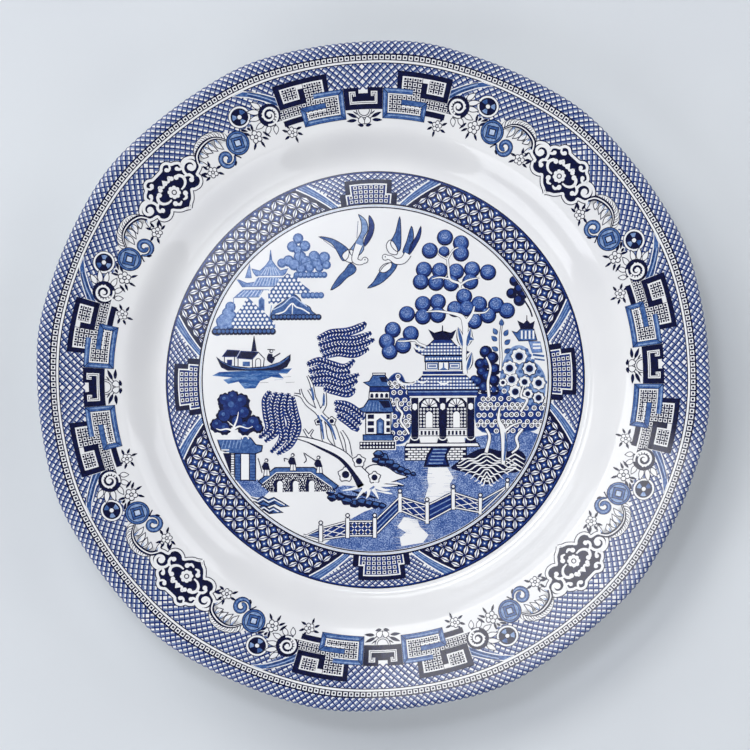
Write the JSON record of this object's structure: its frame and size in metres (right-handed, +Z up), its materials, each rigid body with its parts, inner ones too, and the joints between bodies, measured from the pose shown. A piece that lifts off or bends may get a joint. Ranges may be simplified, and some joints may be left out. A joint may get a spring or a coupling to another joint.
{
  "type": "dinner plate",
  "caption": "Round china dinner plate with a gently lobed lip, flat well, turned foot ring and a blue printed border and landscape.",
  "frame": {"origin": "centre of the foot ring, on the table", "axes": "+Z up through the middle of the plate, -Y the side from which the landscape stands upright, +X to its right"},
  "size_m": [0.2604, 0.2604, 0.0248],
  "materials": {
    "glazed_earthenware": "gloss",
    "border_transfer": "gloss",
    "band_transfer": "gloss",
    "landscape_transfer": "gloss"
  },
  "bodies": {
    "root": {"plate_body": "glazed_earthenware", "border_print": "border_transfer", "band_print": "band_transfer", "landscape_print": "landscape_transfer"}
  },
  "joints": []
}
